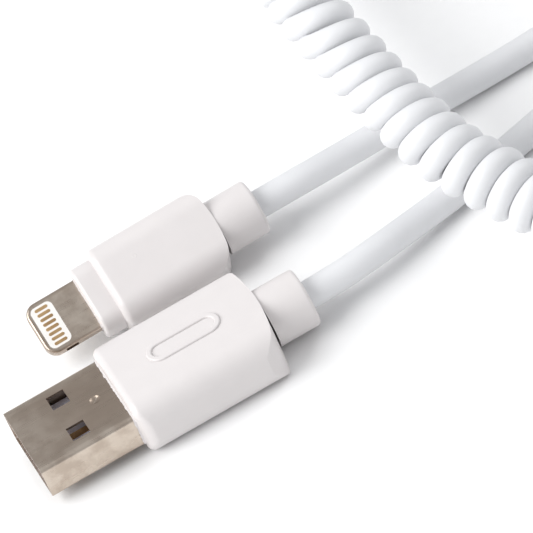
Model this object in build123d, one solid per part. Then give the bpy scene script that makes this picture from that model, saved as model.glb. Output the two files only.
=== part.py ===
from build123d import *
import math
import os

# Coiled charging cable: a flat rectangular charger plug, a reversible tab plug for a phone,
# and one cord between them with a straight lead at each plug and a curly section in the middle.
# Millimetres. The charger plug points its mouth to -X and lies on z = 0, centred on the origin.

# Cord
CORD_DIAMETER = 3.44
CURLED_CORD_DIAMETER = 2.9
COIL_MEAN_RADIUS = 2.74
LEAD_STRAIGHT = 4.2
WIRE_DIAMETER = 0.9
WIRE_SPREAD = 0.55
FILLET_SHARE = 0.45
REST_Z = CORD_DIAMETER / 2 + 0.03

# Charger plug, outside
SHELL_WIDTH = 12.0
SHELL_HEIGHT = 4.5
SHELL_WALL = 0.3
SHELL_EXPOSED = 12.1
SHELL_BURIED = 6.5
SHELL_CORNER = 0.6
WINDOW_LENGTH = 2.2
WINDOW_WIDTH = 2.4
WINDOW_FROM_TIP = 5.0
WINDOW_OFFSET = 3.1
DIMPLE_FROM_TIP = 9.6
DIMPLE_DIAMETER = 1.3
DIMPLE_DEPTH = 0.18
CHARGER_BODY_LENGTH = 19.0
CHARGER_BODY_WIDTH = 14.9
CHARGER_BODY_HEIGHT = 7.6
CHARGER_BODY_ROUND = 2.7
CHARGER_FRONT_CORNER = 1.8
CHARGER_REAR_BOW = 1.1
CHARGER_COLLAR_DIAMETER = 7.2
COLLAR_LENGTH = 5.3
MARK_LENGTH = 9.4
MARK_WIDTH = 3.4
MARK_LINE = 0.7
MARK_RISE = 0.25
MARK_EDGE_ROUND = 0.2
MARK_FROM_FRONT = 9.6

# Charger plug, inside
TONGUE_HEIGHT = 1.9
TONGUE_FROM_TIP = 0.5
CONTACT_WIDTH = 1.0
CONTACT_THICK = 0.25
CONTACT_PROUD = 0.05
CONTACT_OFFSETS = (-3.5, -1.0, 1.0, 3.5)
OUTER_CONTACT_FROM_TIP = 1.2
INNER_CONTACT_FROM_TIP = 2.2
CONTACT_TAIL = 2.4
SHIELD_WALL = 0.25
CHARGER_SHIELD_LENGTH = 8.6
SHIELD_CORNER = 0.8
CHARGER_SHIELD_WIDTH = SHELL_WIDTH + 0.4
CHARGER_SHIELD_HEIGHT = SHELL_HEIGHT + 0.7
CRIMP_LENGTH = 3.0
CRIMP_WALL = 0.4
CRIMP_GAP = 0.3

# Phone plug, outside
TAB_WIDTH = 6.7
TAB_HEIGHT = 1.5
TAB_EXPOSED = 6.9
TAB_BURIED = 3.0
TAB_CORNER = 1.5
TAB_EDGE = 0.3
INSERT_LENGTH = 2.8
INSERT_WIDTH = TAB_WIDTH - 1.2
INSERT_CORNER = 0.7
INSERT_FROM_TIP = 0.6
PIN_COUNT = 8
PIN_PITCH = INSERT_WIDTH * 0.118
PIN_LENGTH = 1.65
PIN_WIDTH = PIN_PITCH * 0.58
PIN_THICK = 0.22
PIN_PROUD = 0.03
NOTCH_FROM_NOSE = 4.0
NOTCH_LENGTH = 1.6
NOTCH_DEPTH = 0.5
NOTCH_HEIGHT = TAB_HEIGHT * 0.6
NOSE_LENGTH = 2.6
NOSE_WIDTH = 8.9
NOSE_HEIGHT = 4.8
NOSE_ROUND = 1.9
PHONE_BODY_LENGTH = 14.7
PHONE_BODY_WIDTH = 10.6
PHONE_BODY_HEIGHT = 7.0
PHONE_BODY_ROUND = 2.8
PHONE_FRONT_CORNER = 1.2
PHONE_REAR_BOW = 0.8
PHONE_COLLAR_DIAMETER = 6.8

# Phone plug, inside
BOARD_THICK = 0.6
BOARD_NECK_WIDTH = INSERT_WIDTH - 0.5
BOARD_WIDTH = 7.6
BOARD_END = 10.5
PAD_OFFSETS = (-2.4, -0.8, 0.8, 2.4)
CHIP_X = 5.9
CHIP_SIZE = (2.6, 2.6, 0.7)
COMPONENT_SIZE = (0.6, 1.0, 0.4)
COMPONENTS_ABOVE = ((4.0, 2.9), (5.2, 2.9), (4.4, -2.9), (7.6, -2.9))
COMPONENTS_BELOW = ((5.0, 1.6), (5.0, -1.6), (7.0, 0))
PHONE_SHIELD_LENGTH = 9.6
PHONE_SHIELD_WIDTH = 8.6
PHONE_SHIELD_HEIGHT = 4.4

# Both plugs
SOLDER_SIZE = (0.9, 1.2, 0.5)
SOLDER_ROUND = 0.36
EDGE_ROUND = 0.9
PLAN_MARGIN = 0.05

# Where the charger plug's faces stand
TIP_X = -(SHELL_EXPOSED + CHARGER_BODY_LENGTH + COLLAR_LENGTH) / 2
BODY_FRONT_X = TIP_X + SHELL_EXPOSED
BODY_REAR_X = BODY_FRONT_X + CHARGER_BODY_LENGTH
COLLAR_END_X = BODY_REAR_X + COLLAR_LENGTH
SHELL_END_X = BODY_FRONT_X + SHELL_BURIED
AXIS_Z = CHARGER_BODY_HEIGHT / 2
SHELL_FLOOR_Z = AXIS_Z - SHELL_HEIGHT / 2 + SHELL_WALL
TONGUE_TOP_Z = SHELL_FLOOR_Z + TONGUE_HEIGHT
CONTACT_TOP_Z = TONGUE_TOP_Z + CONTACT_PROUD
SHIELD_END_X = SHELL_END_X + CHARGER_SHIELD_LENGTH

# Where the phone plug lies, and its own frame: nose at x = 0, tab to -x
PHONE_PLACE = Location((-3.08, 16.2, 4.8), (0, 0, 1.4)) * Location((0, 0, 0), (32, 0, 0))
PHONE_REAR_X = NOSE_LENGTH + PHONE_BODY_LENGTH
PHONE_COLLAR_END_X = PHONE_REAR_X + COLLAR_LENGTH
PHONE_SHIELD_END_X = TAB_BURIED + PHONE_SHIELD_LENGTH
INSERT_MID_X = -TAB_EXPOSED + INSERT_FROM_TIP + INSERT_LENGTH / 2
INSERT_BACK_X = INSERT_MID_X + INSERT_LENGTH / 2

# Routes of the cord, from plug to plug. The phone lead leaves along its plug's own axis.
PHONE_EXIT = (PHONE_PLACE * Pos(PHONE_COLLAR_END_X, 0, 0)).position
PHONE_STRAIGHT = (PHONE_PLACE * Pos(PHONE_COLLAR_END_X + LEAD_STRAIGHT, 0, 0)).position
CHARGER_LEAD_ROUTE = [
    (COLLAR_END_X, 0, AXIS_Z),
    (COLLAR_END_X + LEAD_STRAIGHT, 0, AXIS_Z),
    (29.4, 1.6, 3.3),
    (38.0, 4.2, 2.2),
    (46.0, 6.5, REST_Z),
    (53.9, 8.7, REST_Z + 0.05),
    (61.0, 10.9, REST_Z),
    (66.3, 10.2, REST_Z + 0.05),
    (71.0, 7.5, REST_Z),
    (74.2, 3.3, REST_Z + 0.05),
    (75.5, -1.9, REST_Z),
    (74.7, -7.2, 2.2),
    (71.9, -11.7, 3.4),
    (67.6, -14.7, 4.3),
    (63.0, -16.0, 4.3),
]
PHONE_LEAD_ROUTE = [
    (PHONE_EXIT.X, PHONE_EXIT.Y, PHONE_EXIT.Z),
    (PHONE_STRAIGHT.X, PHONE_STRAIGHT.Y, PHONE_STRAIGHT.Z),
    (31.2, 17.8, 4.0),
    (40.5, 19.6, 2.7),
    (48.8, 20.4, REST_Z + 0.15),
    (56.5, 20.8, REST_Z),
    (62.0, 21.2, REST_Z + 0.05),
    (67.0, 23.4, REST_Z + 0.35),
    (70.5, 27.4, 3.3),
    (72.1, 31.9, 4.3),
    (72.4, 36.1, 4.3),
]
CURLY_ROUTE = [
    (72.4, 36.1, 4.3),
    (72.7, 40.3, 4.3),
    (70.8, 47.0, 4.3),
    (66.4, 52.6, 4.3),
    (60.0, 56.1, 4.9),
    (52.6, 56.7, 6.2),
    (45.8, 54.3, 8.0),
    (40.6, 49.8, 10.0),
    (37.5, 43.6, 12.0),
    (36.5, 36.9, 13.6),
    (36.5, 29.5, 14.5),
    (36.9, 21.5, 14.5),
    (37.6, 13.6, 13.7),
    (38.7, 6.6, 12.2),
    (40.2, 0.9, 10.3),
    (43.2, -4.4, 8.0),
    (45.9, -9.2, 6.3),
    (48.7, -13.8, 5.2),
    (53.2, -16.8, 4.5),
    (58.4, -17.3, 4.3),
    (63.0, -16.0, 4.3),
]


def slab(x0, x1, width, height, z=0.0, corner=0.0):
    """A bar along X with a rounded rectangular section centred on y = 0."""
    with BuildPart() as part:
        with BuildSketch(Plane.YZ.offset(x0)):
            with Locations((0, z)):
                if corner:
                    RectangleRounded(width, height, corner)
                else:
                    Rectangle(width, height)
        extrude(amount=x1 - x0)
    return part.part


def rod(x0, x1, diameter, z=0.0):
    """A round bar along X."""
    with BuildPart() as part:
        with BuildSketch(Plane.YZ.offset(x0)):
            with Locations((0, z)):
                Circle(diameter / 2)
        extrude(amount=x1 - x0)
    return part.part


def block(center, size):
    """A plain box about its centre."""
    return Pos(*center) * Box(*size)


def bead(center, size):
    """A small soldered lump: a box with its upright edges rounded."""
    lump = block(center, size)
    return fillet(lump.edges().filter_by(Axis.Z), SOLDER_ROUND)


def tube_along(points, diameter):
    """A round tube along straight runs joined by tangent arcs."""
    stops = [Vector(*p) for p in points]
    runs = [b - a for a, b in zip(stops, stops[1:])]
    radii = []
    for before, after in zip(runs, runs[1:]):
        half_turn = math.radians(before.get_angle(after)) / 2
        radii.append(FILLET_SHARE * min(before.length, after.length) / math.tan(half_turn))
    path = FilletPolyline(*stops, radius=radii)
    start = Plane(path @ 0, z_dir=path % 0)
    solid = sweep(start * Circle(diameter / 2), path=path)
    section = math.pi * diameter**2 / 4
    print("tube", diameter, "length", round(path.length, 1), "radii", [round(r, 1) for r in radii])
    print("  volume over section times length", round(solid.volume / (section * path.length), 4))
    return solid


def wire(points):
    """One insulated wire through the inside of a plug."""
    path = Spline(*[Vector(*p) for p in points], tangents=[(1, 0, 0), (1, 0, 0)])
    start = Plane(path @ 0, z_dir=path % 0)
    return sweep(start * Circle(WIRE_DIAMETER / 2), path=path)


def body_solid(front_x, length, width, height, corner, bow, front_corner):
    """A moulded grip: rounded section, rounded front corners and a bowed rear end."""
    rear_x = front_x + length
    side = width / 2 + PLAN_MARGIN
    with BuildPart() as part:
        with BuildSketch(Plane.XY.offset(-height)) as plan:
            with BuildLine():
                Polyline((rear_x - bow, side), (front_x, side), (front_x, -side), (rear_x - bow, -side))
                ThreePointArc((rear_x - bow, -side), (rear_x, 0), (rear_x - bow, side))
            make_face()
            fillet(plan.vertices().group_by(Axis.X)[0], front_corner)
            fillet(plan.vertices().group_by(Axis.X)[-1], corner)
        extrude(amount=2 * height)
        with BuildSketch(Plane.YZ.offset(front_x - 1)):
            RectangleRounded(width, height, corner)
        extrude(amount=length + 2, mode=Mode.INTERSECT)
    body = part.part
    return fillet(body.edges().group_by(Axis.X)[0], EDGE_ROUND)


def collar_solid(x0, diameter, z=0.0):
    """The round strain relief, a short ring round the cord."""
    ring = rod(x0, x0 + COLLAR_LENGTH, diameter, z)
    ring = fillet(ring.edges().group_by(Axis.X)[-1], EDGE_ROUND / 2)
    return ring - rod(x0 - 1, x0 + COLLAR_LENGTH + 1, CORD_DIAMETER, z)


def raised_mark(x, z):
    """A plain oblong ring standing on top of the grip."""
    with BuildPart() as part:
        with BuildSketch(Plane.XY.offset(z)):
            with Locations((x, 0)):
                SlotOverall(MARK_LENGTH, MARK_WIDTH)
                SlotOverall(MARK_LENGTH - 2 * MARK_LINE, MARK_WIDTH - 2 * MARK_LINE, mode=Mode.SUBTRACT)
        extrude(amount=MARK_RISE)
    return fillet(part.part.edges().group_by(Axis.Z)[-1], MARK_EDGE_ROUND)


def charger_shell():
    inner_corner = SHELL_CORNER - SHELL_WALL
    shell = slab(TIP_X, SHELL_END_X, SHELL_WIDTH, SHELL_HEIGHT, AXIS_Z, SHELL_CORNER)
    inner_width = SHELL_WIDTH - 2 * SHELL_WALL
    inner_height = SHELL_HEIGHT - 2 * SHELL_WALL
    shell -= slab(TIP_X - 1, SHELL_END_X + 1, inner_width, inner_height, AXIS_Z, inner_corner)
    window_x = TIP_X + WINDOW_FROM_TIP + WINDOW_LENGTH / 2
    for side in (-1, 1):
        for top in (-1, 1):
            at = (window_x, side * WINDOW_OFFSET, AXIS_Z + top * SHELL_HEIGHT / 2)
            shell -= block(at, (WINDOW_LENGTH, WINDOW_WIDTH, 3 * SHELL_WALL))
    ball_radius = (DIMPLE_DIAMETER**2 / 4 + DIMPLE_DEPTH**2) / (2 * DIMPLE_DEPTH)
    ball_z = AXIS_Z + SHELL_HEIGHT / 2 + ball_radius - DIMPLE_DEPTH
    shell -= Pos(TIP_X + DIMPLE_FROM_TIP, 0, ball_z) * Sphere(ball_radius)
    return shell


def contact_strips():
    """Four spring contacts, bedded in the tongue and running back to solder tails."""
    strips = []
    tail_end = SHELL_END_X + CONTACT_TAIL
    for offset in CONTACT_OFFSETS:
        outer = abs(offset) == max(CONTACT_OFFSETS)
        from_tip = OUTER_CONTACT_FROM_TIP if outer else INNER_CONTACT_FROM_TIP
        start = TIP_X + from_tip
        size = (tail_end - start, CONTACT_WIDTH, CONTACT_THICK)
        strips.append(block(((start + tail_end) / 2, offset, CONTACT_TOP_Z - CONTACT_THICK / 2), size))
    return strips


def tongue(strips):
    """The plastic tongue on the floor of the shell; the mouth above it is open."""
    start = TIP_X + TONGUE_FROM_TIP
    width = SHELL_WIDTH - 2 * SHELL_WALL - 2 * (SHELL_CORNER - SHELL_WALL)
    size = (BODY_FRONT_X - start, width, TONGUE_HEIGHT)
    solid = block(((start + BODY_FRONT_X) / 2, 0, SHELL_FLOOR_Z + TONGUE_HEIGHT / 2), size)
    for strip in strips:
        solid -= strip
    return solid


def contact_carrier(strips):
    """The block that closes the shell behind the tongue and grips the contacts."""
    inner_width = SHELL_WIDTH - 2 * SHELL_WALL
    inner_height = SHELL_HEIGHT - 2 * SHELL_WALL
    inner_corner = SHELL_CORNER - SHELL_WALL
    solid = slab(BODY_FRONT_X, SHELL_END_X, inner_width, inner_height, AXIS_Z, inner_corner)
    for strip in strips:
        solid -= strip
    return solid


def charger_solder():
    x = SHELL_END_X + CONTACT_TAIL - SOLDER_SIZE[0] / 2
    z = CONTACT_TOP_Z + SOLDER_SIZE[2] / 2
    size = (SOLDER_SIZE[0], CONTACT_WIDTH, SOLDER_SIZE[2])
    return [bead((x, offset, z), size) for offset in CONTACT_OFFSETS]


def fan_of_wires(start_x, offsets, start_z, end_x, end_z):
    """Four wires from the solder joints into the end of the cord."""
    wires = []
    quarters = ((-1, -1), (-1, 1), (1, 1), (1, -1))
    for offset, (across, up) in zip(offsets, quarters):
        end = (end_x, across * WIRE_SPREAD, end_z + up * WIRE_SPREAD)
        wires.append(wire([(start_x, offset, start_z), end]))
    return wires


def inside_of_shield(x0, x1, width, height, z):
    """The room inside a shield can whose rear wall ends at x1."""
    inner_width = width - 2 * SHIELD_WALL
    inner_height = height - 2 * SHIELD_WALL
    return slab(x0, x1 - SHIELD_WALL, inner_width, inner_height, z, SHIELD_CORNER - SHIELD_WALL)


def shield_halves(x0, x1, width, height, z, cord_hole):
    """Upper and lower halves of a thin metal can, open to the front."""
    can = slab(x0, x1, width, height, z, SHIELD_CORNER)
    can -= inside_of_shield(x0 - 1, x1, width, height, z)
    can -= rod(x0, x1 + 1, cord_hole, z)
    half = Box(2 * (x1 - x0) + 4, width + 2, height)
    upper = can & Pos(x0, 0, z + height / 2) * half
    lower = can & Pos(x0, 0, z - height / 2) * half
    return upper, lower


def cut_all(solid, tools):
    for tool in tools:
        solid -= tool
    return solid


def charger_plug():
    strips = contact_strips()
    solder = charger_solder()
    cord_end_x = SHIELD_END_X + CRIMP_GAP
    wires_z = CONTACT_TOP_Z + WIRE_DIAMETER / 2
    wires = fan_of_wires(SHELL_END_X + CONTACT_TAIL, CONTACT_OFFSETS, wires_z, cord_end_x, AXIS_Z)
    inner = inside_of_shield(
        SHELL_END_X, SHIELD_END_X, CHARGER_SHIELD_WIDTH, CHARGER_SHIELD_HEIGHT, AXIS_Z
    )
    inner = cut_all(inner, strips + solder + wires)
    upper, lower = shield_halves(
        SHELL_END_X, SHIELD_END_X, CHARGER_SHIELD_WIDTH, CHARGER_SHIELD_HEIGHT, AXIS_Z, CORD_DIAMETER
    )
    crimp = rod(cord_end_x, cord_end_x + CRIMP_LENGTH, CORD_DIAMETER + 2 * CRIMP_WALL, AXIS_Z)
    crimp -= rod(cord_end_x, cord_end_x + CRIMP_LENGTH, CORD_DIAMETER, AXIS_Z)
    cord_end = rod(cord_end_x, COLLAR_END_X, CORD_DIAMETER, AXIS_Z)
    grip = Pos(0, 0, AXIS_Z) * body_solid(
        BODY_FRONT_X,
        CHARGER_BODY_LENGTH,
        CHARGER_BODY_WIDTH,
        CHARGER_BODY_HEIGHT,
        CHARGER_BODY_ROUND,
        CHARGER_REAR_BOW,
        CHARGER_FRONT_CORNER,
    )
    grip += raised_mark(BODY_FRONT_X + MARK_FROM_FRONT, CHARGER_BODY_HEIGHT)
    grip -= slab(BODY_FRONT_X - 1, SHELL_END_X, SHELL_WIDTH, SHELL_HEIGHT, AXIS_Z, SHELL_CORNER)
    grip -= slab(
        SHELL_END_X, SHIELD_END_X, CHARGER_SHIELD_WIDTH, CHARGER_SHIELD_HEIGHT, AXIS_Z, SHIELD_CORNER
    )
    grip -= rod(SHIELD_END_X, cord_end_x + CRIMP_LENGTH, CORD_DIAMETER + 2 * CRIMP_WALL, AXIS_Z)
    grip -= rod(SHIELD_END_X, COLLAR_END_X, CORD_DIAMETER, AXIS_Z)
    collar = collar_solid(BODY_REAR_X, CHARGER_COLLAR_DIAMETER, AXIS_Z)
    grip -= rod(BODY_REAR_X, COLLAR_END_X, CHARGER_COLLAR_DIAMETER, AXIS_Z)
    pieces = {
        "charger_plug_shell": charger_shell(),
        "charger_plug_tongue": tongue(strips),
        "charger_plug_contacts": Compound(children=strips),
        "charger_plug_contact_carrier": contact_carrier(strips),
        "charger_plug_solder_joints": Compound(children=solder),
        "charger_plug_shield_upper": upper,
        "charger_plug_shield_lower": lower,
        "charger_plug_crimp": crimp,
        "charger_plug_inner_mould": inner,
        "charger_plug_overmould": grip,
        "charger_plug_collar": collar,
        "charger_plug_cord_end": cord_end,
    }
    for colour, solid in zip(("red", "white", "green", "black"), wires):
        pieces["charger_plug_wire_" + colour] = solid
    return pieces


def pin_row(top):
    """Eight contacts with rounded ends on one face of the tab."""
    face_z = TAB_HEIGHT / 2 - PIN_THICK + PIN_PROUD
    pins = []
    for n in range(PIN_COUNT):
        y = (n - (PIN_COUNT - 1) / 2) * PIN_PITCH
        with BuildPart() as pin:
            with BuildSketch(Plane.XY.offset(face_z)):
                with Locations((INSERT_MID_X, y)):
                    SlotOverall(PIN_LENGTH, PIN_WIDTH)
            extrude(amount=PIN_THICK)
        pins.append(pin.part if top else pin.part.rotate(Axis.X, 180))
    return pins


def insert_hole(height):
    with BuildPart() as part:
        with BuildSketch(Plane.XY.offset(-height / 2)):
            with Locations((INSERT_MID_X, 0)):
                RectangleRounded(INSERT_LENGTH, INSERT_WIDTH, INSERT_CORNER)
        extrude(amount=height)
    return part.part


def tab_frame():
    """The metal tab: solid rim round the insert, a notch in each side and a slot for the board."""
    with BuildPart() as part:
        with BuildSketch(Plane.XY.offset(-TAB_HEIGHT / 2)) as plan:
            with Locations(((TAB_BURIED - TAB_EXPOSED) / 2, 0)):
                Rectangle(TAB_EXPOSED + TAB_BURIED, TAB_WIDTH)
            fillet(plan.vertices().group_by(Axis.X)[0], TAB_CORNER)
        extrude(amount=TAB_HEIGHT)
    tab = part.part
    rims = tab.edges().group_by(Axis.Z)
    rounded = [e for e in rims[0] + rims[-1] if e.center().X < TAB_BURIED / 2]
    tab = fillet(rounded, TAB_EDGE)
    notch_radius = (NOTCH_LENGTH**2 / 4 + NOTCH_DEPTH**2) / (2 * NOTCH_DEPTH)
    for side in (-1, 1):
        y = side * (TAB_WIDTH / 2 + notch_radius - NOTCH_DEPTH)
        tab -= Pos(-NOTCH_FROM_NOSE, y, 0) * Cylinder(notch_radius, NOTCH_HEIGHT)
    tab -= insert_hole(2 * TAB_HEIGHT)
    slot_length = TAB_BURIED - INSERT_BACK_X
    slot_mid = (TAB_BURIED + INSERT_BACK_X) / 2
    return tab - block((slot_mid, 0, 0), (slot_length, BOARD_NECK_WIDTH, BOARD_THICK))


def board():
    neck_length = TAB_BURIED - INSERT_BACK_X
    neck = block(((TAB_BURIED + INSERT_BACK_X) / 2, 0, 0), (neck_length, BOARD_NECK_WIDTH, BOARD_THICK))
    wide = block(((TAB_BURIED + BOARD_END) / 2, 0, 0), (BOARD_END - TAB_BURIED, BOARD_WIDTH, BOARD_THICK))
    return neck + wide


def board_parts():
    """Resistors and capacitors on both faces of the board."""
    z = BOARD_THICK / 2 + COMPONENT_SIZE[2] / 2
    above = [block((x, y, z), COMPONENT_SIZE) for x, y in COMPONENTS_ABOVE]
    below = [block((x, y, -z), COMPONENT_SIZE) for x, y in COMPONENTS_BELOW]
    return above + below


def tab_envelope():
    """The buried length of the tab as the overmould closes on it."""
    with BuildPart() as part:
        with BuildSketch(Plane.YZ.offset(-1)):
            RectangleRounded(TAB_WIDTH, TAB_HEIGHT, TAB_EDGE)
        extrude(amount=TAB_BURIED + 1)
    return part.part


def phone_plug():
    pins_top = pin_row(True)
    pins_bottom = pin_row(False)
    insert = cut_all(insert_hole(TAB_HEIGHT), pins_top + pins_bottom)
    circuit = board()
    top = BOARD_THICK / 2
    chip = block((CHIP_X, 0, top + CHIP_SIZE[2] / 2), CHIP_SIZE)
    small_parts = board_parts()
    solder_x = BOARD_END - SOLDER_SIZE[0] / 2
    solder = [bead((solder_x, y, top + SOLDER_SIZE[2] / 2), SOLDER_SIZE) for y in PAD_OFFSETS]
    cord_end_x = PHONE_SHIELD_END_X + CRIMP_GAP
    wires = fan_of_wires(BOARD_END, PAD_OFFSETS, top + WIRE_DIAMETER / 2, cord_end_x, 0)
    inner = inside_of_shield(
        TAB_BURIED, PHONE_SHIELD_END_X, PHONE_SHIELD_WIDTH, PHONE_SHIELD_HEIGHT, 0
    )
    inner = cut_all(inner, [circuit, chip] + small_parts + solder + wires)
    upper, lower = shield_halves(
        TAB_BURIED, PHONE_SHIELD_END_X, PHONE_SHIELD_WIDTH, PHONE_SHIELD_HEIGHT, 0, CORD_DIAMETER
    )
    crimp = rod(cord_end_x, cord_end_x + CRIMP_LENGTH, CORD_DIAMETER + 2 * CRIMP_WALL)
    crimp -= rod(cord_end_x, cord_end_x + CRIMP_LENGTH, CORD_DIAMETER)
    cord_end = rod(cord_end_x, PHONE_COLLAR_END_X, CORD_DIAMETER)
    grip = body_solid(
        NOSE_LENGTH,
        PHONE_BODY_LENGTH,
        PHONE_BODY_WIDTH,
        PHONE_BODY_HEIGHT,
        PHONE_BODY_ROUND,
        PHONE_REAR_BOW,
        PHONE_FRONT_CORNER,
    )
    nose = slab(0, NOSE_LENGTH, NOSE_WIDTH, NOSE_HEIGHT, 0, NOSE_ROUND)
    nose = fillet(nose.edges().group_by(Axis.X)[0], EDGE_ROUND / 2)
    grip += nose
    grip -= tab_envelope()
    grip -= slab(TAB_BURIED, PHONE_SHIELD_END_X, PHONE_SHIELD_WIDTH, PHONE_SHIELD_HEIGHT, 0, SHIELD_CORNER)
    grip -= rod(PHONE_SHIELD_END_X, cord_end_x + CRIMP_LENGTH, CORD_DIAMETER + 2 * CRIMP_WALL)
    grip -= rod(PHONE_SHIELD_END_X, PHONE_COLLAR_END_X, CORD_DIAMETER)
    grip -= rod(PHONE_REAR_X, PHONE_COLLAR_END_X, PHONE_COLLAR_DIAMETER)
    collar = collar_solid(PHONE_REAR_X, PHONE_COLLAR_DIAMETER)
    pieces = {
        "phone_plug_tab_frame": tab_frame(),
        "phone_plug_insert": insert,
        "phone_plug_contacts_upper": Compound(children=pins_top),
        "phone_plug_contacts_lower": Compound(children=pins_bottom),
        "phone_plug_circuit_board": circuit,
        "phone_plug_control_chip": chip,
        "phone_plug_board_components": Compound(children=small_parts),
        "phone_plug_solder_joints": Compound(children=solder),
        "phone_plug_shield_upper": upper,
        "phone_plug_shield_lower": lower,
        "phone_plug_crimp": crimp,
        "phone_plug_inner_mould": inner,
        "phone_plug_overmould": grip,
        "phone_plug_collar": collar,
        "phone_plug_cord_end": cord_end,
    }
    for colour, solid in zip(("red", "white", "green", "black"), wires):
        pieces["phone_plug_wire_" + colour] = solid
    return {name: PHONE_PLACE * solid for name, solid in pieces.items()}


def cord():
    coil_diameter = 2 * COIL_MEAN_RADIUS + CURLED_CORD_DIAMETER
    return {
        "charger_lead": tube_along(CHARGER_LEAD_ROUTE, CORD_DIAMETER),
        "phone_lead": tube_along(PHONE_LEAD_ROUTE, CORD_DIAMETER),
        "curly_section": tube_along(CURLY_ROUTE, coil_diameter),
    }


def main():
    os.makedirs("parts", exist_ok=True)
    for group in (charger_plug(), phone_plug(), cord()):
        for name, shape in group.items():
            export_step(shape, "parts/" + name + ".step")
            box = shape.bounding_box()
            print(name, [round(v, 2) for v in (*box.min, *box.max)])


main()
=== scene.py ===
import math

import bmesh
import bpy
from bpy.props import FloatProperty, FloatVectorProperty, IntProperty, PointerProperty
from mathutils import Matrix, Vector, noise


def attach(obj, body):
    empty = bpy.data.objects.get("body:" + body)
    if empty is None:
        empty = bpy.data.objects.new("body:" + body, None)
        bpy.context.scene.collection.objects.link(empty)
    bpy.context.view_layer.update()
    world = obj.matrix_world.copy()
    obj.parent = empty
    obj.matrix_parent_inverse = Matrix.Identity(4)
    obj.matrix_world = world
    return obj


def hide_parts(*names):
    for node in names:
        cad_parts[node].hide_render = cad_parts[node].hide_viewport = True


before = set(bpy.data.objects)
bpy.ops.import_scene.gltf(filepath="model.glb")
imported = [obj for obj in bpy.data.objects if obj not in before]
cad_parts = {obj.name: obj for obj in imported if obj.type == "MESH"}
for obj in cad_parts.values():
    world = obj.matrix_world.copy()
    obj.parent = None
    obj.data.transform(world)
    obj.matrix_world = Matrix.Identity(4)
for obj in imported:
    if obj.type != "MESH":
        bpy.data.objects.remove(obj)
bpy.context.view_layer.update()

bl_info = {
    "name": "Coiled charging cable",
    "version": (1, 0, 0),
    "blender": (4, 5, 0),
    "location": "View3D > Sidebar > Cable",
    "description": "Dresses the packed model of a coiled charging cable with its cord, finishes and studio",
    "category": "Object",
}

# The cord's route, in metres, the same points as the model's own leads and curly section.
CHARGER_LEAD_ROUTE = [
    (0.0182, 0.0, 0.0038),
    (0.0224, 0.0, 0.0038),
    (0.0294, 0.0016, 0.0033),
    (0.0380, 0.0042, 0.0022),
    (0.0460, 0.0065, 0.00175),
    (0.0539, 0.0087, 0.0018),
    (0.0610, 0.0109, 0.00175),
    (0.0663, 0.0102, 0.0018),
    (0.0710, 0.0075, 0.00175),
    (0.0742, 0.0033, 0.0018),
    (0.0755, -0.0019, 0.00175),
    (0.0747, -0.0072, 0.0022),
    (0.0719, -0.0117, 0.0034),
    (0.0676, -0.0147, 0.0043),
    (0.0630, -0.0160, 0.0043),
]
PHONE_LEAD_ROUTE = [
    (0.01951, 0.01675, 0.0048),
    (0.02371, 0.01685, 0.0048),
    (0.0312, 0.0178, 0.0040),
    (0.0405, 0.0196, 0.0027),
    (0.0488, 0.0204, 0.0019),
    (0.0565, 0.0208, 0.00175),
    (0.0620, 0.0212, 0.0018),
    (0.0670, 0.0234, 0.0021),
    (0.0705, 0.0274, 0.0033),
    (0.0721, 0.0319, 0.0043),
    (0.0724, 0.0361, 0.0043),
]
CURLY_ROUTE = [
    (0.0724, 0.0361, 0.0043),
    (0.0727, 0.0403, 0.0043),
    (0.0708, 0.0470, 0.0043),
    (0.0664, 0.0526, 0.0043),
    (0.0600, 0.0561, 0.0049),
    (0.0526, 0.0567, 0.0062),
    (0.0458, 0.0543, 0.0080),
    (0.0406, 0.0498, 0.0100),
    (0.0375, 0.0436, 0.0120),
    (0.0365, 0.0369, 0.0136),
    (0.0365, 0.0295, 0.0145),
    (0.0369, 0.0215, 0.0145),
    (0.0376, 0.0136, 0.0137),
    (0.0387, 0.0066, 0.0122),
    (0.0402, 0.0009, 0.0103),
    (0.0432, -0.0044, 0.0080),
    (0.0459, -0.0092, 0.0063),
    (0.0487, -0.0138, 0.0052),
    (0.0532, -0.0168, 0.0045),
    (0.0584, -0.0173, 0.0043),
    (0.0630, -0.0160, 0.0043),
]


# How finely the curl's axis is read, and how far along it the winding looks each way
AXIS_STEPS = 24
LOOK_AHEAD = 7
LOOK_BACK = 6
DOWNHILL_LEAN = 1.5

# Where the grips meet their metal, and how each plug lies
CHARGER_MOUTH = (-0.0061, 0.0, 0.0038)
PHONE_NOSE = (-0.00308, 0.0162, 0.0048)
PHONE_TURN = math.radians(1.4)
PHONE_TILT = math.radians(32)

# Width, height, corner and spacing of the outlines that the moulding flash follows
SHELL_OUTLINE = (0.01204, 0.00454, 0.00062, 0.00022)
TAB_OUTLINE = (0.00673, 0.00153, 0.0003, 0.0002)
CORNER_STEPS = 4
SHELL_FLASH_REACH = 0.00042
SHELL_FLASH_LIFT = 0.00016
TAB_FLASH_REACH = 0.00022
TAB_FLASH_LIFT = 0.0001
RAGGED_SCALE = 1400

# The gate mark: place on the phone plug's grip, size, and share of radius and rise ring by ring
GATE_PLACE = (0.0072, 0.0012, 0.0035)
GATE_RADIUS = 0.00032
GATE_RISE = 0.000018
GATE_SIDES = 24
GATE_PROFILE = ((1.0, -0.2), (0.86, 1.0), (0.66, 1.0), (0.5, 0.1))

# Scales of the surface textures
UNEVEN_SCALE = 420.0
CLOUD_SCALE = 350.0
SPECK_SCALE = 5200.0
LINE_STRETCH = (120.0, 2600.0, 2600.0)

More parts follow.
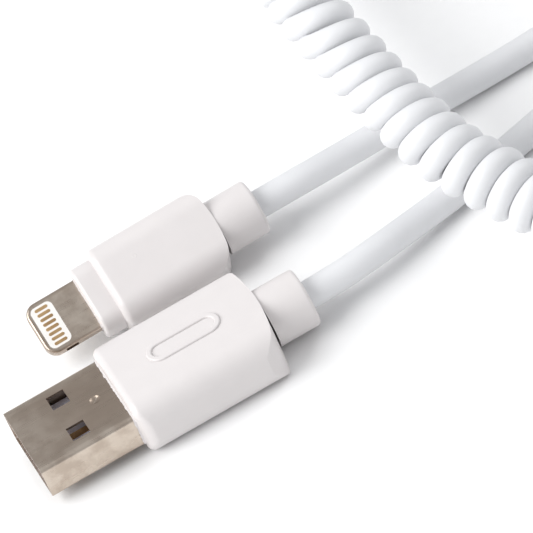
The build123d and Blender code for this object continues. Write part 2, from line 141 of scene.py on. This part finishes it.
# Colours of worn edges and of the pieces inside
WORN_NICKEL = (0.62, 0.54, 0.46)
WORN_TIN = (0.8, 0.8, 0.8)
WORN_GOLD = (0.68, 0.46, 0.24)
SOLDER_COLOUR = (0.55, 0.55, 0.57)
WORN_SOLDER = (0.75, 0.75, 0.75)
INNER_PLASTIC = (0.75, 0.75, 0.72)
BOARD_GREEN = (0.05, 0.2, 0.11)
CHIP_BLACK = (0.03, 0.03, 0.033)
CERAMIC_TAN = (0.42, 0.31, 0.2)
WIRE_COLOURS = {
    "red": (0.5, 0.03, 0.02),
    "white": (0.8, 0.8, 0.77),
    "green": (0.03, 0.3, 0.1),
    "black": (0.02, 0.02, 0.02),
}

# Studio: half the floor's side, the sky, and each light's name, place, size and power
FLOOR_HALF = 3.0
SKY_COLOUR = (0.97, 0.98, 1.0, 1.0)
SKY_STRENGTH = 0.56
LIGHT_AIM = (0.02, 0.01, 0.0)
LIGHTS = (
    ("left light", (-0.46, -0.02, 0.44), 0.6, 4.5),
    ("right light", (0.48, 0.16, 0.42), 0.5, 1.1),
)


class CableSizes(bpy.types.PropertyGroup):
    """Sizes of the cord and its curl."""

    cord_diameter: FloatProperty(
        name="Lead diameter", description="Outside of the jacket on the straight leads",
        default=0.00344, unit="LENGTH", precision=5,
    )
    curl_cord_diameter: FloatProperty(
        name="Curled cord diameter", description="Outside of the jacket in the curl",
        default=0.0029, unit="LENGTH", precision=5,
    )
    coil_radius: FloatProperty(
        name="Curl radius", description="From the curl's axis to the cord's middle",
        default=0.00274, unit="LENGTH", precision=5,
    )
    turn_pitch: FloatProperty(
        name="Turn pitch", description="From one turn's middle to the next one's, square to them",
        default=0.003, unit="LENGTH", precision=5,
    )
    turn_lean: FloatProperty(
        name="Turn lean", description="How far the turns lean over at the middle of the curl",
        default=math.radians(47), subtype="ANGLE",
    )
    turn_points: IntProperty(
        name="Points per turn", description="Control points in one turn", default=14, min=12
    )
    first_turn: FloatProperty(
        name="First turn", description="Where round the axis the curl starts", default=0.0, subtype="ANGLE"
    )


class CableColours(bpy.types.PropertyGroup):
    """Base colours of the finishes."""

    jacket: FloatVectorProperty(
        name="Cord jacket", description="Soft white jacket", size=3, subtype="COLOR",
        default=(0.755, 0.76, 0.775),
    )
    grip: FloatVectorProperty(
        name="Moulded grip", description="Warm white moulding", size=3, subtype="COLOR",
        default=(0.70, 0.668, 0.662),
    )
    nickel: FloatVectorProperty(
        name="Nickel plate", description="Shell and tab", size=3, subtype="COLOR", default=(0.43, 0.35, 0.285)
    )
    tin: FloatVectorProperty(
        name="Tinned steel", description="Shields and crimps", size=3, subtype="COLOR",
        default=(0.62, 0.62, 0.62),
    )
    gold: FloatVectorProperty(
        name="Gold plate", description="Contacts", size=3, subtype="COLOR", default=(0.46, 0.27, 0.13)
    )
    tongue: FloatVectorProperty(
        name="Tongue plastic", description="Charger plug's tongue", size=3, subtype="COLOR",
        default=(0.74, 0.73, 0.83),
    )
    insert: FloatVectorProperty(
        name="Insert plastic", description="Phone plug's insert", size=3, subtype="COLOR",
        default=(0.86, 0.84, 0.81),
    )
    floor: FloatVectorProperty(
        name="Floor", description="Pale studio floor", size=3, subtype="COLOR", default=(0.9, 0.9, 0.9)
    )


class StudioSizes(bpy.types.PropertyGroup):
    """Camera placing."""

    lens: FloatProperty(name="Lens", description="Focal length", default=473.5, unit="CAMERA")
    distance: FloatProperty(
        name="Camera distance", description="From the camera to what it looks at", default=0.8015, unit="LENGTH"
    )
    elevation: FloatProperty(
        name="Camera elevation", description="Above the table", default=math.radians(41.15), subtype="ANGLE"
    )
    azimuth: FloatProperty(
        name="Camera azimuth", description="Round from straight in front", default=math.radians(-7.03),
        subtype="ANGLE",
    )
    roll: FloatProperty(
        name="Camera roll", description="About the line of sight", default=math.radians(-25.04),
        subtype="ANGLE",
    )
    target: FloatVectorProperty(
        name="Camera target", description="The point in the middle of the picture", size=3,
        subtype="TRANSLATION", default=(0.01646, 0.00758, 0.004),
    )


# Shader node groups that several finishes share


def new_group(name, inputs, outputs):
    """An empty shader node group with named float, colour or vector sockets."""
    group = bpy.data.node_groups.new(name, "ShaderNodeTree")
    for label, kind, value in inputs:
        socket = group.interface.new_socket(name=label, in_out="INPUT", socket_type=kind)
        socket.default_value = value
    for label, kind in outputs:
        group.interface.new_socket(name=label, in_out="OUTPUT", socket_type=kind)
    return group, group.nodes.new("NodeGroupInput"), group.nodes.new("NodeGroupOutput")


def noise_node(nodes, links, vector, scale, detail=2.0, rough=0.5):
    """A noise texture read at a place."""
    texture = nodes.new("ShaderNodeTexNoise")
    texture.inputs["Detail"].default_value = detail
    texture.inputs["Roughness"].default_value = rough
    links.new(vector, texture.inputs["Vector"])
    if isinstance(scale, (int, float)):
        texture.inputs["Scale"].default_value = scale
    else:
        links.new(scale, texture.inputs["Scale"])
    return texture


def mapped(nodes, links, value, low, high, to_low, to_high):
    """Spreads a value from one range to another, held inside the second."""
    node = nodes.new("ShaderNodeMapRange")
    links.new(value, node.inputs["Value"])
    for label, number in (("From Min", low), ("From Max", high), ("To Min", to_low), ("To Max", to_high)):
        if isinstance(number, (int, float)):
            node.inputs[label].default_value = number
        else:
            links.new(number, node.inputs[label])
    return node.outputs["Result"]


def moulded_surface_group():
    """Fine spark-eroded grain and slow unevenness of a moulded plastic or rubber skin."""
    group, given, result = new_group(
        "Moulded skin",
        [
            ("Base", "NodeSocketColor", (0.8, 0.8, 0.8, 1)),
            ("Grain scale", "NodeSocketFloat", 9000.0),
            ("Grain depth", "NodeSocketFloat", 0.000004),
            ("Gloss", "NodeSocketFloat", 0.4),
            ("Mottle", "NodeSocketFloat", 0.02),
        ],
        [("Colour", "NodeSocketColor"), ("Roughness", "NodeSocketFloat"), ("Normal", "NodeSocketVector")],
    )
    nodes, links = group.nodes, group.links
    place = nodes.new("ShaderNodeTexCoord").outputs["Object"]
    grain = noise_node(nodes, links, place, given.outputs["Grain scale"], 2.0, 0.6)
    slow = noise_node(nodes, links, place, UNEVEN_SCALE, 3.0, 0.55)
    tint = nodes.new("ShaderNodeMix")
    tint.data_type = "RGBA"
    tint.blend_type = "MULTIPLY"
    tint.inputs["Factor"].default_value = 1.0
    shade = nodes.new("ShaderNodeCombineColor")
    deep = nodes.new("ShaderNodeMath")
    deep.operation = "SUBTRACT"
    deep.inputs[0].default_value = 1.0
    links.new(given.outputs["Mottle"], deep.inputs[1])
    level = mapped(nodes, links, slow.outputs["Fac"], 0.35, 0.65, deep.outputs[0], 1.0)
    for channel in ("Red", "Green", "Blue"):
        links.new(level, shade.inputs[channel])
    links.new(given.outputs["Base"], tint.inputs["A"])
    links.new(shade.outputs["Color"], tint.inputs["B"])
    links.new(tint.outputs["Result"], result.inputs["Colour"])
    spread = nodes.new("ShaderNodeMath")
    spread.operation = "ADD"
    spread.inputs[1].default_value = 0.08
    links.new(given.outputs["Gloss"], spread.inputs[0])
    links.new(
        mapped(nodes, links, slow.outputs["Fac"], 0.3, 0.7, given.outputs["Gloss"], spread.outputs[0]),
        result.inputs["Roughness"],
    )
    bump = nodes.new("ShaderNodeBump")
    bump.inputs["Strength"].default_value = 0.6
    links.new(given.outputs["Grain depth"], bump.inputs["Distance"])
    links.new(grain.outputs["Fac"], bump.inputs["Height"])
    links.new(bump.outputs["Normal"], result.inputs["Normal"])
    return group


def plated_metal_group():
    """Drawn sheet metal under thin plating: fine lines, a cloudy tarnish and rubbed edges."""
    group, given, result = new_group(
        "Plated metal",
        [
            ("Base", "NodeSocketColor", (0.6, 0.55, 0.5, 1)),
            ("Worn", "NodeSocketColor", (0.8, 0.76, 0.72, 1)),
            ("Roughness", "NodeSocketFloat", 0.3),
            ("Line depth", "NodeSocketFloat", 0.000003),
        ],
        [("Colour", "NodeSocketColor"), ("Roughness", "NodeSocketFloat"), ("Normal", "NodeSocketVector")],
    )
    nodes, links = group.nodes, group.links
    place = nodes.new("ShaderNodeTexCoord").outputs["Object"]
    stretch = nodes.new("ShaderNodeMapping")
    stretch.inputs["Scale"].default_value = LINE_STRETCH
    links.new(place, stretch.inputs["Vector"])
    lines = noise_node(nodes, links, stretch.outputs["Vector"], 1.0, 3.0, 0.7)
    cloud = noise_node(nodes, links, place, CLOUD_SCALE, 4.0, 0.6)
    specks = noise_node(nodes, links, place, SPECK_SCALE, 2.0, 0.6)
    edges = nodes.new("ShaderNodeNewGeometry").outputs["Pointiness"]
    rubbed = mapped(nodes, links, edges, 0.53, 0.60, 0.0, 1.0)
    broken = nodes.new("ShaderNodeMath")
    broken.operation = "MULTIPLY"
    links.new(rubbed, broken.inputs[0])
    links.new(mapped(nodes, links, cloud.outputs["Fac"], 0.4, 0.6, 0.35, 1.0), broken.inputs[1])
    tarnish = nodes.new("ShaderNodeMix")
    tarnish.data_type = "RGBA"
    tarnish.blend_type = "MULTIPLY"
    tarnish.inputs["Factor"].default_value = 1.0
    shade = nodes.new("ShaderNodeCombineColor")
    level = mapped(nodes, links, cloud.outputs["Fac"], 0.3, 0.7, 0.93, 1.02)
    for channel in ("Red", "Green", "Blue"):
        links.new(level, shade.inputs[channel])
    links.new(given.outputs["Base"], tarnish.inputs["A"])
    links.new(shade.outputs["Color"], tarnish.inputs["B"])
    wear = nodes.new("ShaderNodeMix")
    wear.data_type = "RGBA"
    links.new(broken.outputs[0], wear.inputs["Factor"])
    links.new(tarnish.outputs["Result"], wear.inputs["A"])
    links.new(given.outputs["Worn"], wear.inputs["B"])
    links.new(wear.outputs["Result"], result.inputs["Colour"])
    rougher = nodes.new("ShaderNodeMath")
    rougher.operation = "ADD"
    rougher.inputs[1].default_value = 0.14
    links.new(given.outputs["Roughness"], rougher.inputs[0])
    links.new(
        mapped(nodes, links, lines.outputs["Fac"], 0.3, 0.7, given.outputs["Roughness"], rougher.outputs[0]),
        result.inputs["Roughness"],
    )
    height = nodes.new("ShaderNodeMath")
    height.operation = "ADD"
    links.new(lines.outputs["Fac"], height.inputs[0])
    links.new(mapped(nodes, links, specks.outputs["Fac"], 0.3, 0.7, 0.0, 0.6), height.inputs[1])
    bump = nodes.new("ShaderNodeBump")
    bump.inputs["Strength"].default_value = 0.5
    links.new(given.outputs["Line depth"], bump.inputs["Distance"])
    links.new(height.outputs[0], bump.inputs["Height"])
    links.new(bump.outputs["Normal"], result.inputs["Normal"])
    return group


GROUPS = {}


def shared_group(name):
    """The shared node group of that name, built the first time it is asked for."""
    builders = {"Moulded skin": moulded_surface_group, "Plated metal": plated_metal_group}
    if name not in GROUPS:
        GROUPS[name] = builders[name]()
    return GROUPS[name]


def new_material(name):
    """A fresh material with its nodes, links and shader."""
    material = bpy.data.materials.new(name)
    material.use_nodes = True
    nodes = material.node_tree.nodes
    return material, nodes, material.node_tree.links, nodes["Principled BSDF"]


def with_surface(name, group_name, values, metallic=0.0, uniform=()):
    """A material whose colour, roughness and normal come from a shared group."""
    material, nodes, links, shader = new_material(name)
    surface = nodes.new("ShaderNodeGroup")
    surface.node_tree = shared_group(group_name)
    for label, value in values.items():
        surface.inputs[label].default_value = value
    links.new(surface.outputs["Colour"], shader.inputs["Base Color"])
    links.new(surface.outputs["Roughness"], shader.inputs["Roughness"])
    links.new(surface.outputs["Normal"], shader.inputs["Normal"])
    shader.inputs["Metallic"].default_value = metallic
    for label, value in uniform:
        shader.inputs[label].default_value = value
    return material


def rgba(colour):
    """A colour with full opacity."""
    return (colour[0], colour[1], colour[2], 1.0)


def jacket_material(colours):
    """The soft matt skin of the cord."""
    return with_surface(
        "Cord jacket",
        "Moulded skin",
        {
            "Base": rgba(colours.jacket),
            "Grain scale": 7000.0,
            "Grain depth": 0.000004,
            "Gloss": 0.42,
            "Mottle": 0.02,
        },
        uniform=(("IOR", 1.48),),
    )


def grip_material(colours):
    """The warmer, smoother skin of the grips and collars."""
    return with_surface(
        "Moulded grip",
        "Moulded skin",
        {
            "Base": rgba(colours.grip),
            "Grain scale": 9000.0,
            "Grain depth": 0.000003,
            "Gloss": 0.30,
            "Mottle": 0.015,
        },
        uniform=(("IOR", 1.5),),
    )


def plastic_material(name, colour, gloss=0.5, mottle=0.05):
    """A moulded plastic of one colour, finely grained."""
    return with_surface(
        name,
        "Moulded skin",
        {
            "Base": rgba(colour),
            "Grain scale": 11000.0,
            "Grain depth": 0.000005,
            "Gloss": gloss,
            "Mottle": mottle,
        },
    )


def metal_material(name, colour, worn, roughness, depth=0.000003):
    """A plated metal with rubbed edges."""
    return with_surface(
        name,
        "Plated metal",
        {"Base": rgba(colour), "Worn": rgba(worn), "Roughness": roughness, "Line depth": depth},
        metallic=1.0,
    )


def dress(node_names, material):
    """Gives model nodes one finish."""
    for name in node_names:
        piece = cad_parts[name]
        piece.data.materials.clear()
        piece.data.materials.append(material)


def line_of(points, name):
    """Points read along the smooth line that control points make."""
    curve = smooth_curve(points, name)
    holder = bpy.data.objects.new(name, curve)
    curve.resolution_u = AXIS_STEPS
    mesh = bpy.data.meshes.new_from_object(holder)
    line = [v.co.copy() for v in mesh.vertices]
    bpy.data.objects.remove(holder)
    bpy.data.curves.remove(curve)
    bpy.data.meshes.remove(mesh)
    return line


def smooth_curve(points, name):
    """A curve of one open smooth spline through its first and last control points."""
    curve = bpy.data.curves.new(name, "CURVE")
    curve.dimensions = "3D"
    spline = curve.splines.new("NURBS")
    spline.points.add(len(points) - 1)
    for slot_point, place in zip(spline.points, points):
        slot_point.co = (*place, 1.0)
    spline.order_u = 3
    spline.use_endpoint_u = True
    return curve


def curl_points(line, sizes):
    """Control points of the helix that winds round a line, its turns leaning over in the middle."""
    reach = [0.0]
    for before, after in zip(line, line[1:]):
        reach.append(reach[-1] + (after - before).length)
    wide = sizes.coil_radius / math.cos(math.pi / sizes.turn_points)
    step = 2 * math.pi / sizes.turn_points
    points = []
    swept = 0.0
    for at in range(len(line) - 1):
        ahead = (line[min(at + LOOK_AHEAD, len(line) - 1)] - line[max(at - LOOK_BACK, 0)]).normalized()
        lean = sizes.turn_lean * math.sin(math.pi * reach[at] / reach[-1])
        lean = lean + DOWNHILL_LEAN * min(0.0, math.asin(ahead.z))
        gain = 2 * math.pi * (reach[at + 1] - reach[at]) * math.cos(lean) / sizes.turn_pitch
        side = ahead.cross(Vector((0, 0, 1))).normalized()
        up = math.cos(lean) * side.cross(ahead) + math.sin(lean) * ahead
        while len(points) * step < swept + gain:
            part = (len(points) * step - swept) / gain
            middle = line[at].lerp(line[at + 1], part)
            along = reach[at] + part * (reach[at + 1] - reach[at])
            opening = min(1.0, along / sizes.turn_pitch, (reach[-1] - along) / sizes.turn_pitch)
            radius = wide * opening * opening * (3 - 2 * opening)
            angle = sizes.first_turn + len(points) * step
            points.append(middle + radius * (math.cos(angle) * side + math.sin(angle) * up))
        swept += gain
    return points


def curve_length(points):
    """The length of a line of points."""
    return sum((b - a).length for a, b in zip(points, points[1:]))


def rounded_outline(width, height, corner, spacing):
    """Points round a rectangle with rounded corners."""
    turns = []
    for quarter, (across, up) in enumerate(((1, 1), (-1, 1), (-1, -1), (1, -1))):
        for step in range(CORNER_STEPS):
            angle = (quarter + step / (CORNER_STEPS - 1)) * math.pi / 2
            y = across * (width / 2 - corner) + corner * math.cos(angle)
            z = up * (height / 2 - corner) + corner * math.sin(angle)
            turns.append(Vector((0.0, y, z)))
    points = []
    for here, ahead in zip(turns, turns[1:] + turns[:1]):
        count = max(1, round((ahead - here).length / spacing))
        points += [here.lerp(ahead, step / count) for step in range(count)]
    return points


def ragged_flash(name, place, outline, reach, lift):
    """A thin ragged skin that crept along the metal from the mouth of a moulding."""
    shape = bmesh.new()
    rows = []
    for point in outline:
        out = Vector((0.0, point.y, point.z)).normalized() * lift
        crept = reach * (0.35 + 0.65 * abs(noise.noise(point * RAGGED_SCALE)))
        inner = shape.verts.new(point + out + Vector((reach, 0.0, 0.0)))
        outer = shape.verts.new(point + out * 0.4 - Vector((crept, 0.0, 0.0)))
        rows.append((inner, outer))
    for here, ahead in zip(rows, rows[1:] + rows[:1]):
        shape.faces.new((here[0], here[1], ahead[1], ahead[0]))
    return finished_mesh(name, shape, place)


def gate_mark(name, place, radius, rise):
    """The small round scar a moulding gate leaves."""
    shape = bmesh.new()
    rings = []
    for share, height in GATE_PROFILE:
        ring = []
        for step in range(GATE_SIDES):
            angle = 2 * math.pi * step / GATE_SIDES
            spot = Vector((math.cos(angle), math.sin(angle), 0.0)) * radius * share
            ring.append(shape.verts.new(spot + Vector((0.0, 0.0, rise * height))))
        rings.append(ring)
    for outer, inner in zip(rings, rings[1:]):
        for step in range(GATE_SIDES):
            after = (step + 1) % GATE_SIDES
            shape.faces.new((outer[step], outer[after], inner[after], inner[step]))
    shape.faces.new(rings[-1])
    return finished_mesh(name, shape, place)


def finished_mesh(name, shape, place):
    """Turns built geometry into a smooth object placed on its plug."""
    bmesh.ops.recalc_face_normals(shape, faces=shape.faces)
    mesh = bpy.data.meshes.new(name)
    shape.to_mesh(mesh)
    shape.free()
    for face in mesh.polygons:
        face.use_smooth = True
    piece = bpy.data.objects.new(name, mesh)
    piece.matrix_world = place
    bpy.context.scene.collection.objects.link(piece)
    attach(piece, "root")
    return piece


class CABLE_OT_camera(bpy.types.Operator):
    """Places the camera"""

    bl_idname = "cable.camera"
    bl_label = "Camera"

    def execute(self, context):
        studio = context.scene.cable_studio
        around, height = studio.azimuth, studio.elevation
        back = Vector(
            (math.sin(around) * math.cos(height), -math.cos(around) * math.cos(height), math.sin(height))
        )
        right = (-back).cross(Vector((0, 0, 1))).normalized()
        up = right.cross(-back)
        lean, upright = math.sin(studio.roll), math.cos(studio.roll)
        tilted_right = upright * right + lean * up
        tilted_up = upright * up - lean * right
        camera_data = bpy.data.cameras.new("Camera")
        camera_data.lens = studio.lens
        camera_data.clip_start = 0.01
        camera = bpy.data.objects.new("Camera", camera_data)
        place = Vector(studio.target) + studio.distance * back
        turn = Matrix((tilted_right, tilted_up, back)).transposed().to_4x4()
        camera.matrix_world = Matrix.Translation(place) @ turn
        context.scene.collection.objects.link(camera)
        context.scene.camera = camera
        return {"FINISHED"}


class CABLE_OT_cord(bpy.types.Operator):
    """Lays the cord from plug to plug, curled in the middle"""

    bl_idname = "cable.cord"
    bl_label = "Cord"

    def execute(self, context):
        sizes = context.scene.cable_sizes
        curl = curl_points(line_of(CURLY_ROUTE, "curl axis"), sizes)
        points = [Vector(p) for p in CHARGER_LEAD_ROUTE] + curl[::-1]
        points += [Vector(p) for p in PHONE_LEAD_ROUTE[::-1]]
        curve = smooth_curve(points, "cord")
        first_curl = len(CHARGER_LEAD_ROUTE)
        for point in curve.splines[0].points[first_curl : first_curl + len(curl)]:
            point.radius = sizes.curl_cord_diameter / sizes.cord_diameter
        curve.resolution_u = 4
        curve.bevel_depth = sizes.cord_diameter / 2
        curve.bevel_resolution = 6
        curve.use_fill_caps = True
        cord = bpy.data.objects.new("cord", curve)
        context.scene.collection.objects.link(cord)
        curve.materials.append(jacket_material(context.scene.cable_colours))
        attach(cord, "root")
        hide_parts("charger_lead", "phone_lead", "curly_section")
        length = curve_length(line_of(points, "cord line"))
        print("cord length", round(length, 4), "control points", len(points))
        return {"FINISHED"}


class CABLE_OT_metalwork(bpy.types.Operator):
    """Finishes the shell, the tab, the shields, the crimps and the contacts"""

    bl_idname = "cable.metalwork"
    bl_label = "Metalwork"

    def execute(self, context):
        colours = context.scene.cable_colours
        nickel = metal_material("Nickel plate", colours.nickel, WORN_NICKEL, 0.24)
        tin = metal_material("Tinned steel", colours.tin, WORN_TIN, 0.35)
        gold = metal_material("Gold plate", colours.gold, WORN_GOLD, 0.3)
        solder = metal_material("Solder", SOLDER_COLOUR, WORN_SOLDER, 0.4)
        dress(("charger_plug_shell", "phone_plug_tab_frame"), nickel)
        shields = [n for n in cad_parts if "shield" in n or "crimp" in n]
        dress(shields, tin)
        dress([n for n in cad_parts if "contacts" in n], gold)
        dress([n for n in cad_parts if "solder" in n], solder)
        return {"FINISHED"}


class CABLE_OT_mouldings(bpy.types.Operator):
    """Finishes the grips, collars, tongue, insert and the mouldings inside"""

    bl_idname = "cable.mouldings"
    bl_label = "Mouldings"

    def execute(self, context):
        colours = context.scene.cable_colours
        grip = grip_material(colours)
        outside = [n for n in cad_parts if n.endswith(("overmould", "collar"))]
        dress(outside, grip)
        jacket = jacket_material(colours)
        dress([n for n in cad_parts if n.endswith("cord_end")], jacket)
        tongue = plastic_material("Tongue plastic", colours.tongue, 0.45)
        dress(("charger_plug_tongue", "charger_plug_contact_carrier"), tongue)
        insert = plastic_material("Insert plastic", colours.insert, 0.4)
        dress(("phone_plug_insert",), insert)
        inner = plastic_material("Inner plastic", INNER_PLASTIC, 0.5)
        dress([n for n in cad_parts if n.endswith("inner_mould")], inner)
        mouth = Matrix.Translation(CHARGER_MOUTH)
        outline = rounded_outline(*SHELL_OUTLINE)
        flash = ragged_flash("mouth_flash", mouth, outline, SHELL_FLASH_REACH, SHELL_FLASH_LIFT)
        lying = Matrix.Translation(PHONE_NOSE)
        lying = lying @ Matrix.Rotation(PHONE_TURN, 4, "Z") @ Matrix.Rotation(PHONE_TILT, 4, "X")
        outline = rounded_outline(*TAB_OUTLINE)
        rim = ragged_flash("nose_flash", lying, outline, TAB_FLASH_REACH, TAB_FLASH_LIFT)
        gate_place = lying @ Matrix.Translation(GATE_PLACE)
        gate = gate_mark("gate_mark", gate_place, GATE_RADIUS, GATE_RISE)
        for piece in (flash, rim, gate):
            piece.data.materials.append(grip)
        return {"FINISHED"}


class CABLE_OT_electronics(bpy.types.Operator):
    """Finishes the circuit board, its components and the wires"""

    bl_idname = "cable.electronics"
    bl_label = "Electronics"

    def execute(self, context):
        board = plastic_material("Board laminate", BOARD_GREEN, 0.35, 0.2)
        dress(("phone_plug_circuit_board",), board)
        chip = plastic_material("Chip black", CHIP_BLACK, 0.5)
        dress(("phone_plug_control_chip",), chip)
        parts = plastic_material("Ceramic tan", CERAMIC_TAN, 0.5, 0.2)
        dress(("phone_plug_board_components",), parts)
        for shade, colour in WIRE_COLOURS.items():
            wire = plastic_material("Wire " + shade, colour, 0.35)
            dress([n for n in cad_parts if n.endswith("wire_" + shade)], wire)
        return {"FINISHED"}


class CABLE_OT_stage(bpy.types.Operator):
    """Lays the pale floor and sets the soft lights"""

    bl_idname = "cable.stage"
    bl_label = "Studio"

    def execute(self, context):
        colours = context.scene.cable_colours
        mesh = bpy.data.meshes.new("floor")
        signs = ((-1, -1), (1, -1), (1, 1), (-1, 1))
        corners = [(x * FLOOR_HALF, y * FLOOR_HALF, 0) for x, y in signs]
        mesh.from_pydata(corners, [], [(0, 1, 2, 3)])
        floor = bpy.data.objects.new("floor", mesh)
        context.scene.collection.objects.link(floor)
        mesh.materials.append(
            with_surface(
                "Studio floor",
                "Moulded skin",
                {
                    "Base": rgba(colours.floor),
                    "Grain scale": 900.0,
                    "Grain depth": 0.00001,
                    "Gloss": 0.9,
                    "Mottle": 0.01,
                },
            )
        )
        world = context.scene.world or bpy.data.worlds.new("World")
        context.scene.world = world
        world.use_nodes = True
        background = world.node_tree.nodes["Background"]
        background.inputs["Color"].default_value = SKY_COLOUR
        background.inputs["Strength"].default_value = SKY_STRENGTH
        context.scene.view_settings.view_transform = "Standard"
        for name, place, size, power in LIGHTS:
            self.add_light(context, name, place, size, power)
        return {"FINISHED"}

    def add_light(self, context, name, place, size, power):
        data = bpy.data.lights.new(name, "AREA")
        data.shape = "DISK"
        data.size = size
        data.energy = power
        light = bpy.data.objects.new(name, data)
        light.location = place
        aim = Vector(LIGHT_AIM) - Vector(place)
        light.rotation_euler = aim.to_track_quat("-Z", "Y").to_euler()
        context.scene.collection.objects.link(light)


class CABLE_PT_panel(bpy.types.Panel):
    """Lists the cable's steps and settings"""

    bl_idname = "CABLE_PT_panel"
    bl_label = "Coiled charging cable"
    bl_space_type = "VIEW_3D"
    bl_region_type = "UI"
    bl_category = "Cable"

    def draw(self, context):
        for operator in OPERATORS:
            self.layout.operator(operator.bl_idname)
        for group in (context.scene.cable_sizes, context.scene.cable_colours, context.scene.cable_studio):
            for key in group.bl_rna.properties.keys():
                if key not in ("rna_type", "name"):
                    self.layout.prop(group, key)


OPERATORS = (
    CABLE_OT_camera,
    CABLE_OT_cord,
    CABLE_OT_metalwork,
    CABLE_OT_mouldings,
    CABLE_OT_electronics,
    CABLE_OT_stage,
)
CLASSES = (CableSizes, CableColours, StudioSizes, *OPERATORS, CABLE_PT_panel)


def register():
    for cls in CLASSES:
        bpy.utils.register_class(cls)
    bpy.types.Scene.cable_sizes = PointerProperty(type=CableSizes)
    bpy.types.Scene.cable_colours = PointerProperty(type=CableColours)
    bpy.types.Scene.cable_studio = PointerProperty(type=StudioSizes)


def unregister():
    del bpy.types.Scene.cable_studio
    del bpy.types.Scene.cable_colours
    del bpy.types.Scene.cable_sizes
    for cls in reversed(CLASSES):
        bpy.utils.unregister_class(cls)


def main():
    register()
    bpy.ops.cable.camera()
    bpy.ops.cable.cord()
    bpy.ops.cable.metalwork()
    bpy.ops.cable.mouldings()
    bpy.ops.cable.electronics()
    bpy.ops.cable.stage()


if __name__ == "__main__":
    main()
